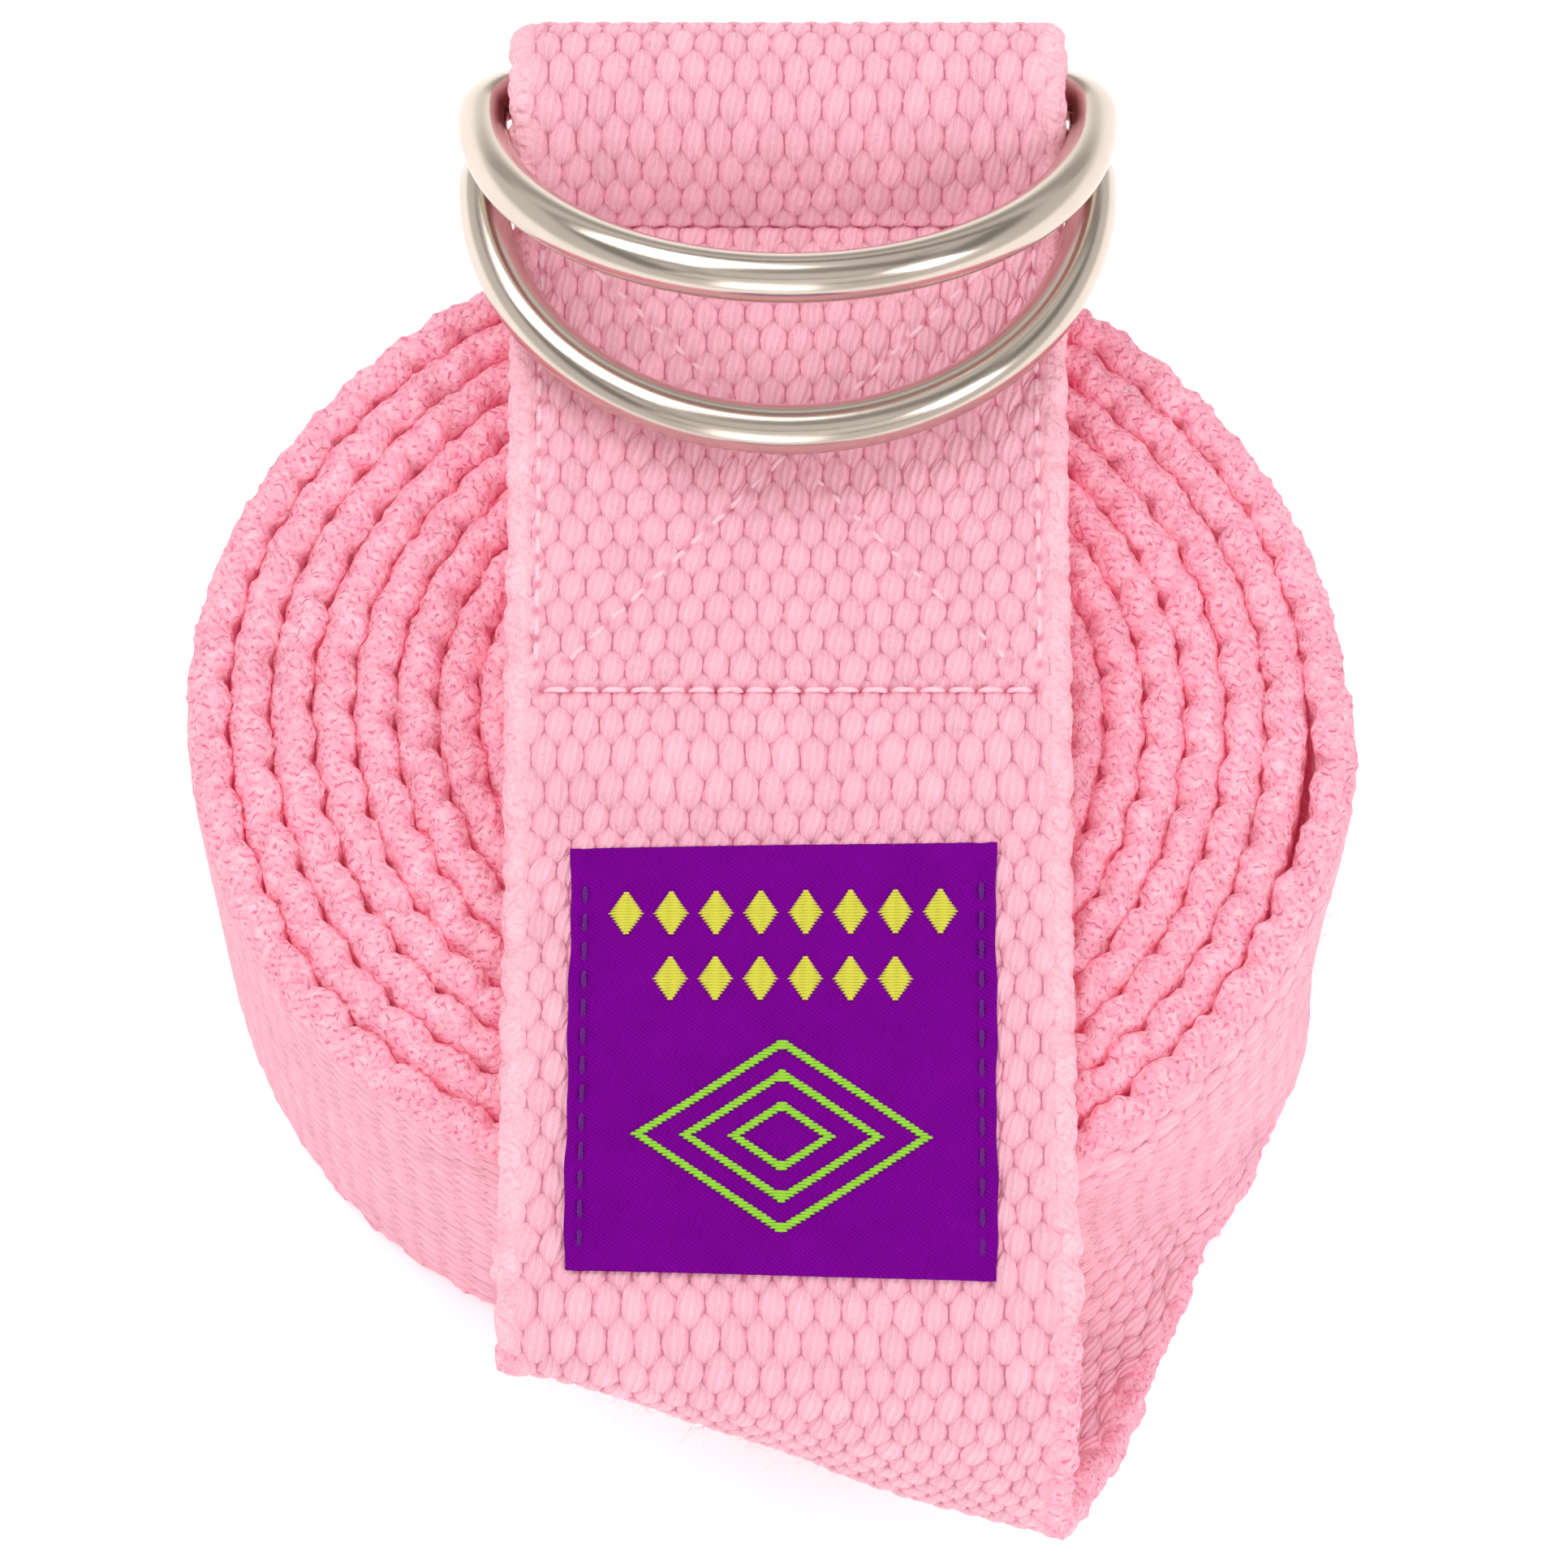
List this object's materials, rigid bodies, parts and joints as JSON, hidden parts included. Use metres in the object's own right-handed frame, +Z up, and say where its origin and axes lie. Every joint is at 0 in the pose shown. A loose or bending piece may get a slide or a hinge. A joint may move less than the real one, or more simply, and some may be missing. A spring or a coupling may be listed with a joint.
{
  "type": "stretching strap",
  "caption": "Cotton webbing strap stored as a spiral roll, its end folded over the top and sewn round a pair of nickel D-rings, with a woven label.",
  "frame": {"origin": "on the roll's axis, on the surface that the roll lies on", "axes": "+Z up along the roll's axis; -Y is the front, where the end folds over; +Y runs along the crossing end towards the D-rings"},
  "size_m": [0.0775, 0.1024, 0.0608],
  "materials": {
    "webbing": "coarse plain-woven cotton, soft and matt with a slight fuzz",
    "thread": "twisted sewing thread",
    "nickel": "nickel plate, polished, slightly warm and soft",
    "label_cloth": "satin-woven polyester",
    "label_thread": "fine polyester thread",
    "yellow_yarn": "brocade yarn",
    "green_yarn": "brocade yarn"
  },
  "bodies": {
    "roll": {"webbing_roll": "webbing", "webbing_fold": "webbing", "free_end_hem": "webbing", "hem_seam": "thread"},
    "end": {"webbing_end": "webbing", "woven_label": "label_cloth", "label_diamonds": "yellow_yarn", "label_motif": "green_yarn", "label_left_seam": "label_thread", "label_right_seam": "label_thread", "box_seam_thread": "thread", "box_seam_bobbin": "thread"},
    "lower_ring": {"lower_d_ring": "nickel"},
    "upper_ring": {"upper_d_ring": "nickel"}
  },
  "joints": [
    {"name": "end_lift", "type": "hinge", "parent": "roll", "child": "end", "pos_m": [0.001, -0.0438, 0.0399], "axis": [1, 0, 0], "range_deg": [0, 100]},
    {"name": "lower_ring_swing", "type": "hinge", "parent": "end", "child": "lower_ring", "pos_m": [0.001, 0.0419, 0.0441], "axis": [-1, 0, 0], "range_deg": [0, 150]},
    {"name": "upper_ring_swing", "type": "hinge", "parent": "lower_ring", "child": "upper_ring", "pos_m": [0.001, 0.04359, 0.04507], "axis": [-1, 0, 0], "range_deg": [0, 60]}
  ]
}
